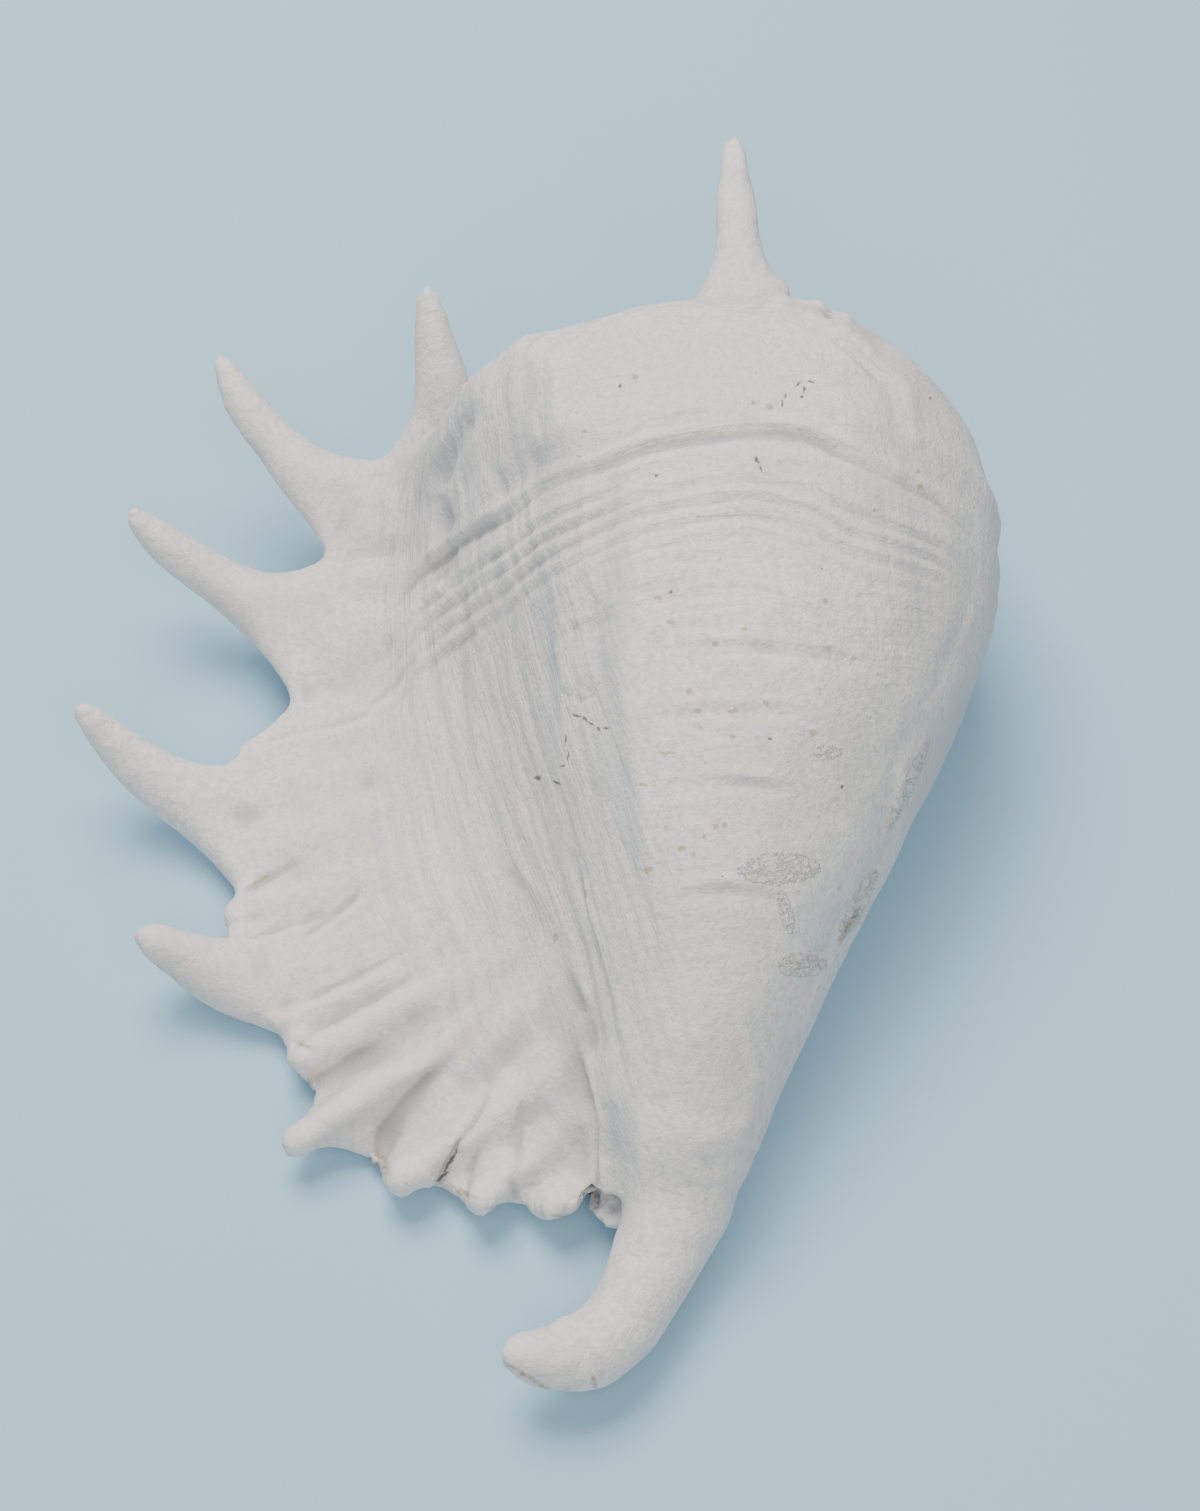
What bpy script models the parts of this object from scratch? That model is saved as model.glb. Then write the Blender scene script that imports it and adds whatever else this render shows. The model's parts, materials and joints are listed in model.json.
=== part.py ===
"""A giant spider conch shell, lying on its opening as it rests on a table.

The shell grew as one piece, so it is one solid. +Y points to the spire, -Y to the front canal,
-X to the flared lip with its long fingers, and +Z up from the table. Sizes are millimetres until
the solid is made. The outside is lofted from slices across the body whorl. Each slice is one
spiral line of growth: it starts at the lip's edge, climbs the wing, goes over the back, down the
right side and under the belly to the inner lip, and returns through the hollow of the mouth.
"""

import math

import bmesh
import bpy
import numpy as np
from mathutils import Vector

MM = 0.001
SHELL_COLOUR = (0.80, 0.78, 0.75, 1.0)
SHELL_ROUGHNESS = 0.85

# Slices of the body whorl at a place y along it. The landmarks are (x, z) round the outside:
# the foot of the slope above the wing, the left shoulder, the crown, the right flank, the belly
# and the inner lip. Then come how far the hollow reaches towards the crown (a share), how far
# the pillar bulges left into the hollow, and the thickness of the wall.
LANDMARKS = ("foot", "shoulder", "crown", "flank", "belly", "inner")
SLICES = (
    (-98, (4, 20), (9, 32), (19, 37), (33, 20), (24, 2), (15, 3), 0.85, -3, 3.6),
    (-88, (-1, 21), (7, 37), (19, 44), (37, 24), (24, 0), (12, 4), 0.85, -1, 4.5),
    (-60, (-9, 27), (6, 53), (24, 62), (50, 31), (31, -1), (7, 6), 0.85, 5, 5),
    (-30, (-20, 32), (3, 69), (29, 79), (65, 38), (39, -1), (4, 8), 0.85, 10, 5.5),
    (0, (-31, 34), (-1, 82), (34, 93), (81, 44), (46, -1), (1, 10), 0.85, 14, 6),
    (30, (-38, 36), (-7, 91), (36, 102), (93, 49), (52, -1), (-1, 11), 0.85, 17, 6),
    (55, (-42, 42), (-13, 96), (35, 108), (95, 52), (55, -1), (-2, 13), 0.85, 18, 6),
    (72, (-44, 50), (-19, 97), (30, 109), (92.5, 55), (55, 2), (0, 18), 0.8, 15, 6),
    (84, (-40, 58), (-20, 93), (26, 106), (86, 57), (55, 9), (6, 28), 0.6, 8, 5.5),
    (91, (-24, 62), (-4, 90), (26, 102), (80, 58), (54, 14), (14, 34), 0.42, 4, 5),
    (97, (-4, 66), (14, 88), (34, 95), (74, 59), (53, 22), (22, 42), 0.3, 1, 4),
    (103, (15, 67), (27, 79), (41, 82), (67, 60), (52, 33), (32, 48), 0.2, 0, 3.2),
    (107, (28, 66), (36, 73), (48, 76), (62, 61), (53, 43), (40, 53), 0.15, 0, 2.5),
)

# The front canal is a round tube, open below, that bends to the left. Each row is a place s that
# carries on from the slices' y, then the centre's x, y, z, the turn to the left in degrees and
# the tube's radius.
CANAL = (
    (-163, -21.8, -138, 19.5, 95, 2.6),
    (-158, -19, -138.4, 18, 94, 4.6),
    (-150, -12.5, -138.4, 15.5, 86, 7.2),
    (-142, -4.5, -136.8, 13.5, 68, 9),
    (-133, 3, -131, 13, 46, 9.2),
    (-122, 9.3, -121.5, 13.5, 28, 9.3),
    (-112, 13.8, -111.5, 14.5, 17, 10.3),
    (-104, 17.6, -104, 16.5, 8, 12),
)
CANAL_LANDMARKS = {
    "foot": (-1, -0.1),
    "shoulder": (-0.72, 0.7),
    "crown": (0, 1),
    "flank": (1, 0),
    "belly": (0.42, -0.93),
    "inner": (0.2, -0.72),
    "edge": (-0.3, -0.95),
}
CANAL_REACH = 0.8
CANAL_BULGE = -0.25
CANAL_WALL = 0.27

# The lip's edge from the notch beside the canal to the spire. Each row: the slice it grows from,
# the edge's x, y, z, how far the rib there stands up, the edge's thickness, and the number of
# faces to the next row.
LIP = (
    (-98, 1.5, -98.5, 19, 0, 3.5, 2),
    (-91, -9, -103, 14, 2.5, 5, 2),
    (-86, -19, -95.5, 8, -2, 5, 2),
    (-80, -27.5, -101, 13, 3, 6, 2),
    (-74, -36, -91.5, 7, -2.5, 5, 2),
    (-67, -46, -95.5, 12, 3.5, 7, 2),
    (-60, -54, -83.5, 7, -3, 5, 2),
    (-50, -73, -85.5, 12, 5, 9, 2),
    (-43, -66, -69, 7, -2.5, 5, 2),
    (-40, -71, -63, 11, 2, 7, 2),
    (-36, -75, -53, 8, -1, 6, 4),
    (-20, -86, -31, 9.5, 0, 7, 1),
    (-14, -90, -23, 11, 1.5, 7.5, 1),
    (-8, -86, -16.5, 10, 0, 7, 5),
    (24, -87, 20, 14, 0.5, 6, 2),
    (32, -75, 32, 17, -1, 6, 7),
    (60, -68, 69, 26, -1, 6, 4),
    (76, -54, 91.5, 36, -1, 6, 4),
    (88, -27, 103, 47, 0, 6, 2),
    (95, -8, 104, 53, -1, 5, 2),
    (101, 14, 107, 58, 0, 4, 1),
    (107, 25, 107.5, 61, 0, 2, 0),
)

# The fingers of the lip: the first and last LIP row of the root, the point that the curve bends
# towards, the tip, and the half width at the first third, at the last third and at the tip.
FINGERS = {
    "finger_6": (10, 11, (-96, -38, 10), (-108, -37, 26), 9, 5.5, 2.8),
    "finger_5": (13, 14, (-108, 9, 9), (-125, 18.5, 36), 8.6, 5.6, 3.2),
    "finger_4": (15, 16, (-97, 65, 17), (-116, 70.5, 42), 7.4, 5.2, 3.2),
    "finger_3": (16, 17, (-85, 95, 32), (-95.5, 113, 50), 7.2, 5, 2.7),
    "finger_2": (17, 18, (-40, 107, 50), (-42.5, 120, 68), 6.8, 4.8, 2.8),
}
FINGER_SWELL = 4
FINGER_THICKENING = 7
FINGER_RINGS = 8

# Raised cords that run round the back, along slices: the place and the height.
CORDS = ((56, 2.1), (44, 1.2), (36, 1.0))
CORD_HALF_WIDTH = 5

# The spire is a low stepped cone on the back end, coiled round the shell's axis.
SPIRE_APEX = (55, 115, 64)
SPIRE_FOOT = (46, 84, 58)
SPIRE_RADIUS = 28
SPIRE_HEIGHT = 20
SPIRE_WHORLS = 3.2
SPIRE_STEP = 2.4
SPIRE_RINGS = 9
SPIRE_SECTORS = 26

# The spine beside the spire: centre, half width across, half depth, from inside the shell to the tip.
BACK_SPINE = (
    ((33, 98, 54), 17, 10),
    ((34, 112, 60), 14.5, 9.5),
    ((35, 121, 63.5), 10.8, 8.5),
    ((34.4, 128, 66.2), 7.4, 6.8),
    ((34.1, 135, 68.6), 5.8, 5.5),
    ((34, 144, 71.5), 4.7, 4.6),
    ((33.6, 152, 73.6), 3.7, 3.6),
    ((33.4, 158, 75), 2.6, 2.6),
    ((33.4, 160.5, 75.5), 1.2, 1.2),
)
BACK_SPINE_SIDES = 12

ROOT_ROWS = [first for first, *_ in FINGERS.values()]
CANAL_STATIONS = 12
WING_FACES, SLOPE_FACES, BACK_FACES = 7, 3, 3
FLANK_FACES, UNDER_FACES, BELLY_FACES = 5, 5, 3
PILLAR_FACES = 7


def smooth(places, values, at):
    """A smooth curve through values at increasing places, read at one place."""
    places = np.asarray(places, float)
    values = np.asarray(values, float)
    slopes = np.gradient(values, places, axis=0)
    k = int(np.clip(np.searchsorted(places, at) - 1, 0, len(places) - 2))
    gap = places[k + 1] - places[k]
    return hermite(values[k], values[k + 1], slopes[k] * gap, slopes[k + 1] * gap, (at - places[k]) / gap)


def hermite(start, end, leave, arrive, t):
    """The point at share t of a cubic from start to end with these end tangents."""
    return (
        (2 * t**3 - 3 * t**2 + 1) * start
        + (t**3 - 2 * t**2 + t) * leave
        + (3 * t**2 - 2 * t**3) * end
        + (t**3 - t**2) * arrive
    )


def quarter(start, end, right, faces, upright_first):
    """Points of a quarter ellipse from start to end, without start."""
    level, plumb = (end, start) if upright_first else (start, end)
    corner = level + right * ((plumb - level) @ right)
    centre = start + end - corner
    angles = np.linspace(0, math.pi / 2, faces + 1)[1:]
    return [centre + (start - centre) * math.cos(a) + (end - centre) * math.sin(a) for a in angles]


def canal_row(s, x, y, z, turn, radius):
    """A canal row in the form of key_rows."""
    right = np.array([math.cos(math.radians(turn)), -math.sin(math.radians(turn)), 0])
    up = np.array([0, 0, 1])
    centre = np.array([x, y, z])
    points = [centre + radius * (a * right + b * up) for a, b in CANAL_LANDMARKS.values()]
    tail = np.array([CANAL_REACH, CANAL_BULGE * radius, CANAL_WALL * radius])
    return s, np.concatenate([*points, right, tail])


def key_rows():
    """The canal's and the body's slices as (place, landmarks and the three hollow sizes)."""
    rows = [canal_row(*row) for row in CANAL]
    for y, *marks, reach, bulge, wall in SLICES:
        points = [np.array([x, y, z]) for x, z in marks]
        edge = points[LANDMARKS.index("inner")] + np.array([-4.0, 0, 0])
        rows.append((y, np.concatenate([*points, edge, np.array([1, 0, 0]), np.array([reach, bulge, wall])])))
    return rows


KEYS = key_rows()


def slice_at(place):
    """The landmarks and hollow sizes at a place along the shell."""
    row = smooth([key[0] for key in KEYS], [key[1] for key in KEYS], place)
    marks = {name: row[3 * n : 3 * n + 3] for n, name in enumerate((*LANDMARKS, "edge", "right"))}
    marks["right"] = marks["right"] / np.linalg.norm(marks["right"])
    marks["reach"], marks["bulge"], marks["wall"] = row[24:27]
    return marks


def stations():
    """Every spiral line of the loft: (place, edge point or None, rib, thickness), canal tip first."""
    first = CANAL[0][0]
    last = LIP[0][0]
    lines = []
    for n in range(CANAL_STATIONS):
        place = first + (last - first) * n / CANAL_STATIONS
        lines.append([place, None, 0.0, 0.0])
    starts = []
    for row, following in zip(LIP, LIP[1:] + (None,), strict=True):
        starts.append(len(lines))
        faces = max(row[6], 1)
        for n in range(faces if following else 1):
            t = n / faces
            ease = t * t * (3 - 2 * t)
            here = np.array(row[:6], float)
            there = np.array((following or row)[:6], float)
            mixed = here + (there - here) * ease
            mixed[0] = here[0] + (there[0] - here[0]) * t
            swell = math.sin(math.pi * t) ** 2 if len(starts) - 1 in ROOT_ROWS else 0
            rib = mixed[4] + FINGER_SWELL * swell
            lines.append([mixed[0], mixed[1:4], rib, mixed[5] + FINGER_THICKENING * swell])
    return lines, starts


def outer_line(line):
    """The outside points of one spiral line, from the lip's edge to the inner lip."""
    place, edge, rib, _ = line
    marks = slice_at(place)
    if edge is None:
        edge = marks["edge"]
    foot, shoulder, crown = marks["foot"], marks["shoulder"], marks["crown"]
    right = marks["right"]
    outward = (foot - edge) * np.array([1, 1, 0.45])
    at_foot = (shoulder - edge) / np.linalg.norm(shoulder - edge)
    at_shoulder = (crown - foot) / np.linalg.norm(crown - foot)
    points = []
    spans = (
        (edge, foot, outward, at_foot * np.linalg.norm(foot - edge), WING_FACES),
        (foot, shoulder, at_foot * np.linalg.norm(shoulder - foot),
         at_shoulder * np.linalg.norm(shoulder - foot), SLOPE_FACES),
        (shoulder, crown, at_shoulder * np.linalg.norm(crown - shoulder),
         right * np.linalg.norm(crown - shoulder), BACK_FACES),
    )
    for start, end, leave, arrive, faces in spans:
        points += [hermite(start, end, leave, arrive, n / faces) for n in range(faces)]
    points.append(crown)
    points += quarter(crown, marks["flank"], right, FLANK_FACES, upright_first=False)
    points += quarter(marks["flank"], marks["belly"], right, UNDER_FACES, upright_first=True)
    span = np.linalg.norm(marks["inner"] - marks["belly"])
    rise = np.array([0, 0, 1.0])
    points += [
        hermite(marks["belly"], marks["inner"], -right * span, rise * span, n / BELLY_FACES)
        for n in range(1, BELLY_FACES + 1)
    ]
    points = np.array(points)
    for n in range(WING_FACES + 1):
        fade = (1 - n / WING_FACES) ** 1.5
        points[n, 2] += rib * fade * min(1, 0.3 + n)
    return points


def raise_cords(grid, normals, lines):
    """Adds the cords' height to the outside, fading on the wing and under the belly."""
    columns = WING_FACES + SLOPE_FACES + BACK_FACES + FLANK_FACES
    for n, (place, *_) in enumerate(lines):
        height = 0
        for at, top in CORDS:
            share = min(1, abs(place - at) / CORD_HALF_WIDTH)
            height += top * (1 - share)
        for j in range(2, columns + 2):
            fade = min(1, (j - 1) / 4, (columns + 2 - j) / 3)
            grid[n, j] += normals[n, j] * height * fade


def normals_of(grid):
    """Outward unit normals of a grid of points, rows along the shell."""
    along = np.gradient(grid, axis=0)
    across = np.gradient(grid, axis=1)
    found = np.cross(across, along)
    return found / np.linalg.norm(found, axis=2, keepdims=True)


def hollow_line(n, grid, normals, lines):
    """The inside points of one line, from the inner lip through the hollow to the edge's underside."""
    place, edge, _, thick = lines[n]
    marks = slice_at(place)
    wall = marks["wall"]
    rim = wall if edge is None else thick
    count = WING_FACES + SLOPE_FACES + BACK_FACES
    under = []
    for j in range(count + 1):
        spot = j * marks["reach"]
        low = min(int(spot), count - 1)
        part = spot - low
        point = grid[n, low] * (1 - part) + grid[n, low + 1] * part
        normal = normals[n, low] * (1 - part) + normals[n, low + 1] * part
        depth = rim + (wall - rim) * min(1, j / WING_FACES)
        under.append(point - normal * depth)
    start, end = grid[n, -1], under[-1]
    left = -marks["right"]
    pillar = []
    for k in range(1, PILLAR_FACES):
        t = k / PILLAR_FACES
        pillar.append(start + (end - start) * t + left * marks["bulge"] * 4 * t * (1 - t))
    return np.array(pillar + under[::-1])


def build_mesh():
    lines, starts = stations()
    grid = np.array([outer_line(line) for line in lines])
    normals = normals_of(grid)
    raise_cords(grid, normals, lines)
    inside = [hollow_line(n, grid, normals, lines) for n in range(len(lines))]
    roots = {(starts[a], starts[b]): name for name, (a, b, *_) in FINGERS.items()}
    bm = bmesh.new()
    loops = []
    for n, line in enumerate(lines):
        outer = grid[n]
        inner = inside[n]
        top, under = outer[0], inner[-1]
        middle = (top + under) / 2
        outward = outer[0] - outer[1]
        middle = middle + outward / np.linalg.norm(outward) * np.linalg.norm(top - under) * 0.3
        buried = any(a < n < b for a, b in roots)
        loop = [bm.verts.new(p) for p in outer] + [bm.verts.new(p) for p in inner]
        loop.append(None if buried else bm.verts.new(middle))
        loops.append(loop)
    size = len(loops[0])
    for n, (loop, following) in enumerate(zip(loops, loops[1:], strict=False)):
        at_root = any(a <= n < b for a, b in roots)
        for j in range(size):
            k = (j + 1) % size
            if at_root and size - 1 in (j, k):
                continue
            bm.faces.new((loop[j], loop[k], following[k], following[j]))
    bm.faces.new(list(reversed(loops[0])))
    bm.faces.new(loops[-1])
    for (a, b), name in roots.items():
        add_finger(bm, [loop for loop in loops[a : b + 1]], *FINGERS[name][2:])
    for vert in bm.verts:
        vert.co.z = max(vert.co.z, 0)
    bmesh.ops.scale(bm, vec=(MM, MM, MM), verts=bm.verts)
    bmesh.ops.recalc_face_normals(bm, faces=bm.faces)
    return bm


def add_finger(bm, loops, bend, tip, first_half, last_half, tip_half):
    """Grows a finger from the gap that the lip's edge leaves between two rows."""
    top = [loop[0] for loop in loops]
    under = [loop[-2] for loop in loops]
    ring = top + [loops[-1][-1]] + under[::-1] + [loops[0][-1]]
    spread = np.linspace(158, 22, len(top))
    angles = [*spread, 0, *(-spread[::-1]), 180]
    root = np.array([v.co for v in ring])
    centre = root.mean(0)
    bend, tip = np.array(bend, float), np.array(tip, float)
    side = np.array(top[-1].co) - np.array(top[0].co)
    shares = [(n + 1) / FINGER_RINGS for n in range(FINGER_RINGS)]
    last = ring
    for share in shares:
        t = share**1.15
        path = (1 - t) ** 2 * centre + 2 * t * (1 - t) * bend + t**2 * tip
        heading = (1 - t) * (bend - centre) + t * (tip - bend)
        heading /= np.linalg.norm(heading)
        across = side - heading * (side @ heading)
        across /= np.linalg.norm(across)
        rise = np.cross(across, heading)
        rise *= np.sign(rise[2]) or 1
        half = smooth([0.33, 0.72, 1], [first_half, last_half, tip_half], max(t, 0.1))
        round_off = math.sqrt(max(0.0, 1 - ((t - 0.9) / 0.115) ** 2)) if t > 0.9 else 1
        blend = 1 - max(0, 1 - t / 0.5) ** 2.4
        following = []
        for angle, place in zip(angles, root, strict=True):
            turn = math.radians(angle)
            on_round = path + half * round_off * (
                across * math.cos(turn) + rise * math.sin(turn)
            )
            on_root = path + (place - centre) * (1 - 0.5 * t)
            following.append(bm.verts.new(on_root + (on_round - on_root) * blend))
        for j in range(len(ring)):
            k = (j + 1) % len(ring)
            bm.faces.new((last[j], last[k], following[k], following[j]))
        last = following
    bm.faces.new(last)


def spire_mesh():
    """The spire as a closed solid: its top steps along a spiral and its flat foot is in the shell."""
    foot, apex = Vector(SPIRE_FOOT), Vector(SPIRE_APEX)
    axis = (apex - foot).normalized()
    first = axis.cross(Vector((0, 0, 1))).normalized()
    second = axis.cross(first)
    bm = bmesh.new()
    rings = []
    for ring in range(SPIRE_RINGS):
        row = []
        for sector in range(SPIRE_SECTORS):
            angle = 2 * math.pi * sector / SPIRE_SECTORS
            share = 1 - ring / SPIRE_RINGS
            coil = SPIRE_WHORLS * (1 - share) + sector / SPIRE_SECTORS
            lip = 0.5 - 0.5 * math.cos(2 * math.pi * coil)
            radius = SPIRE_RADIUS * share * (1 + 0.05 * lip)
            height = SPIRE_HEIGHT * (1 - share**1.5) + SPIRE_STEP * lip * min(1, ring)
            spot = foot + axis * ((apex - foot).length - SPIRE_HEIGHT + height)
            row.append(bm.verts.new(spot + first * radius * math.cos(angle) + second * radius * math.sin(angle)))
        rings.append(row)
    for row, following in zip(rings, rings[1:], strict=False):
        for j in range(SPIRE_SECTORS):
            k = (j + 1) % SPIRE_SECTORS
            bm.faces.new((row[j], row[k], following[k], following[j]))
    top = bm.verts.new(apex)
    for j in range(SPIRE_SECTORS):
        bm.faces.new((rings[-1][j], rings[-1][(j + 1) % SPIRE_SECTORS], top))
    base = [bm.verts.new(v.co - axis * 12) for v in rings[0]]
    for j in range(SPIRE_SECTORS):
        k = (j + 1) % SPIRE_SECTORS
        bm.faces.new((base[j], base[k], rings[0][k], rings[0][j]))
    bm.faces.new(base)
    return bm


def back_spine_mesh():
    """The long spine beside the spire, as a closed tapering tube."""
    bm = bmesh.new()
    centres = [Vector(centre) for centre, *_ in BACK_SPINE]
    rings = []
    for n, (_, half_width, half_depth) in enumerate(BACK_SPINE):
        heading = centres[min(n + 1, len(centres) - 1)] - centres[max(n - 1, 0)]
        across = Vector((1, 0, 0)) - heading * (heading.x / heading.length_squared)
        across.normalize()
        rise = across.cross(heading).normalized()
        ring = []
        for sector in range(BACK_SPINE_SIDES):
            angle = 2 * math.pi * sector / BACK_SPINE_SIDES
            offset = across * half_width * math.cos(angle) + rise * half_depth * math.sin(angle)
            ring.append(bm.verts.new(centres[n] + offset))
        rings.append(ring)
    for ring, following in zip(rings, rings[1:], strict=False):
        for j in range(BACK_SPINE_SIDES):
            k = (j + 1) % BACK_SPINE_SIDES
            bm.faces.new((ring[j], ring[k], following[k], following[j]))
    bm.faces.new(rings[0])
    bm.faces.new(rings[-1])
    return bm


def helper(name, bm):
    """A helper object from a mesh in millimetres, kept out of the view."""
    bmesh.ops.scale(bm, vec=(MM, MM, MM), verts=bm.verts)
    bmesh.ops.recalc_face_normals(bm, faces=bm.faces)
    mesh = bpy.data.meshes.new(name)
    bm.to_mesh(mesh)
    bm.free()
    obj = bpy.data.objects.new(name, mesh)
    bpy.context.scene.collection.objects.link(obj)
    obj.hide_render = True
    obj.display_type = "WIRE"
    return obj


def stand_on_origin(objects):
    """Moves the shell and its forms together, so that its box is centred on the origin."""
    shell = objects[0]
    solid = shell.evaluated_get(bpy.context.evaluated_depsgraph_get())
    corners = np.array([v.co for v in solid.to_mesh().vertices])
    solid.to_mesh_clear()
    low, high = corners.min(0), corners.max(0)
    for obj in objects:
        obj.location = (-(low[0] + high[0]) / 2, -(low[1] + high[1]) / 2, -low[2])


def main():
    for obj in list(bpy.data.objects):
        bpy.data.objects.remove(obj)
    bm = build_mesh()
    mesh = bpy.data.meshes.new("shell")
    bm.to_mesh(mesh)
    bm.free()
    shell = bpy.data.objects.new("shell", mesh)
    bpy.context.scene.collection.objects.link(shell)
    forms = [helper("spire_form", spire_mesh()), helper("back_spine_form", back_spine_mesh())]
    for form in forms:
        joined = shell.modifiers.new(form.name, "BOOLEAN")
        joined.operation = "UNION"
        joined.solver = "EXACT"
        joined.object = form
    stand_on_origin([shell, *forms])


main()
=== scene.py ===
"""A giant spider conch shell on a pale table, lying on its mouth, in metres."""

import json
import math

import bpy
import numpy as np
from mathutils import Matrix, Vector
from mathutils import noise as lumps
from mathutils.bvhtree import BVHTree

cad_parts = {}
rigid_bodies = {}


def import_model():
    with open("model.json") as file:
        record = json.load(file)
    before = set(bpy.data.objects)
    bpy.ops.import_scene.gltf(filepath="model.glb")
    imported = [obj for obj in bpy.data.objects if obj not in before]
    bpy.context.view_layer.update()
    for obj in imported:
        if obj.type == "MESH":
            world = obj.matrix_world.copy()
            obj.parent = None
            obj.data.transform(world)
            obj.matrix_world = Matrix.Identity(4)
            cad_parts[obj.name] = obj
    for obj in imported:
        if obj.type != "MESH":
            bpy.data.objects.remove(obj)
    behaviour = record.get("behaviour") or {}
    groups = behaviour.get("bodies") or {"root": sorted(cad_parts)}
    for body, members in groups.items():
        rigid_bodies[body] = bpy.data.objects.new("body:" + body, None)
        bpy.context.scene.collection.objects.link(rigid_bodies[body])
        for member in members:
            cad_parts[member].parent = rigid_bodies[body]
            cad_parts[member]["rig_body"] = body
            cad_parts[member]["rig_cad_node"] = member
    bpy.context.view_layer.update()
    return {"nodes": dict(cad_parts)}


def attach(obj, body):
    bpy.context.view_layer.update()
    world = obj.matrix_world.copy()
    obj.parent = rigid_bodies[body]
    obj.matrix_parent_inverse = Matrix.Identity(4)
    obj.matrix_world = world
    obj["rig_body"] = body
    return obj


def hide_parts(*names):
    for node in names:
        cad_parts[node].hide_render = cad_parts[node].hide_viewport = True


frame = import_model()

# The whole shell
# One piece of lime that the animal built outwards ring by ring: a heavy coiled body, a flared lip
# with long fingers, and a hooked canal in front. It starts as a copy of the solid, made smooth.
MM = 0.001
COARSE_STEP = 2.12 * MM
MERGE_GAP = 0.01 * MM
STANDS_AT = np.array([15.0, -7.4, 0.0])
NEARLY_FLAT = math.radians(60)
ANY_SHAPE = math.radians(180)
SHRINK = 0.5
SWELL = -0.52
REFIT = 1.25
REFIT_ROUNDS = 8

bpy.ops.object.select_all(action="DESELECT")
solid = frame["nodes"]["shell"]
solid.select_set(True)
bpy.context.view_layer.objects.active = solid
bpy.ops.object.duplicate()
conch = bpy.context.active_object
conch.name = "conch"
conch.parent = None
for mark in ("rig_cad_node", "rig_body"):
    del conch[mark]
bpy.ops.object.mode_set(mode="EDIT")
bpy.ops.mesh.select_all(action="SELECT")
bpy.ops.mesh.remove_doubles(threshold=MERGE_GAP)
bpy.ops.mesh.tris_convert_to_quads(face_threshold=NEARLY_FLAT, shape_threshold=ANY_SHAPE)
bpy.ops.object.mode_set(mode="OBJECT")


def add_modifier(piece, name, kind, **settings):
    """Adds a modifier with these settings and applies it."""
    modifier = piece.modifiers.new(name, kind)
    for key, value in settings.items():
        setattr(modifier, key, value)
    bpy.ops.object.modifier_apply(modifier=name)


def soften(piece, rounds):
    """Evens out the faces. Each round shrinks the piece a little and swells it again."""
    for _ in range(rounds):
        add_modifier(piece, "shrink", "SMOOTH", factor=SHRINK, iterations=1)
        add_modifier(piece, "swell", "SMOOTH", factor=SWELL, iterations=1)


def evened(piece, values, rounds):
    """The values at the piece's points, after each is averaged with its neighbours that often."""
    values = values.copy()
    ends = np.zeros(len(piece.data.edges) * 2, dtype=np.int32)
    piece.data.edges.foreach_get("vertices", ends)
    near, far = ends.reshape(-1, 2).T
    here = np.concatenate([near, far])
    there = np.concatenate([far, near])
    neighbours = np.bincount(here, minlength=len(values))
    for _ in range(rounds):
        for axis in range(3):
            total = np.bincount(here, values[there, axis], minlength=len(values))
            values[:, axis] = 0.5 * values[:, axis] + 0.5 * total / neighbours
    return values


def fit_to(piece, target, rounds):
    """Moves a smooth piece back out to its target by the gaps between them, evened out."""
    tree = BVHTree.FromObject(target, bpy.context.evaluated_depsgraph_get())
    points = np.zeros(len(piece.data.vertices) * 3)
    piece.data.vertices.foreach_get("co", points)
    points = points.reshape(-1, 3)
    gaps = np.array([tree.find_nearest(point)[0] for point in points]) - points
    points += REFIT * evened(piece, gaps, rounds)
    piece.data.vertices.foreach_set("co", points.ravel())
    piece.data.update()


add_modifier(conch, "rounded", "SUBSURF", levels=2, render_levels=2)
fit_to(conch, solid, REFIT_ROUNDS)

# The lower wall of the canal
# Between the lip and the canal the edge is notched, and the canal's own lower wall shows in the
# notch as a thin curved sheet. It is one with the rest.
NOTCH_PLACE = (3.2, -99.2, 8.6)
NOTCH_HALF_SIZE = (9.0, 4.6, 2.3)
NOTCH_TURNS = [math.radians(degrees) for degrees in (12, -14, -48)]
COARSE_ROUNDS = 12

bpy.ops.object.select_all(action="DESELECT")
bpy.ops.mesh.primitive_uv_sphere_add(segments=32, ring_count=16, radius=1)
sheet = bpy.context.active_object
sheet.scale = [half * MM for half in NOTCH_HALF_SIZE]
sheet.rotation_euler = NOTCH_TURNS
sheet.location = [(at + shift) * MM for at, shift in zip(NOTCH_PLACE, STANDS_AT, strict=True)]
bpy.ops.object.transform_apply(location=True, rotation=True, scale=True)
conch.select_set(True)
bpy.context.view_layer.objects.active = conch
bpy.ops.object.join()
add_modifier(conch, "even_faces", "REMESH", mode="VOXEL", voxel_size=COARSE_STEP, adaptivity=0)
soften(conch, COARSE_ROUNDS)


def points_of(piece):
    """The piece's points and normals, in millimetres from the middle of the body."""
    count = len(piece.data.vertices)
    points = np.zeros(count * 3)
    normals = np.zeros(count * 3)
    piece.data.vertices.foreach_get("co", points)
    piece.data.vertices.foreach_get("normal", normals)
    return points.reshape(-1, 3) / MM - STANDS_AT, normals.reshape(-1, 3)


def set_points(piece, points):
    """Moves the piece's points, and keeps what the shell lies on flat."""
    points = points + STANDS_AT
    points[:, 2] = np.maximum(points[:, 2], 0)
    piece.data.vertices.foreach_set("co", (points * MM).ravel())
    piece.data.update()


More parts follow.
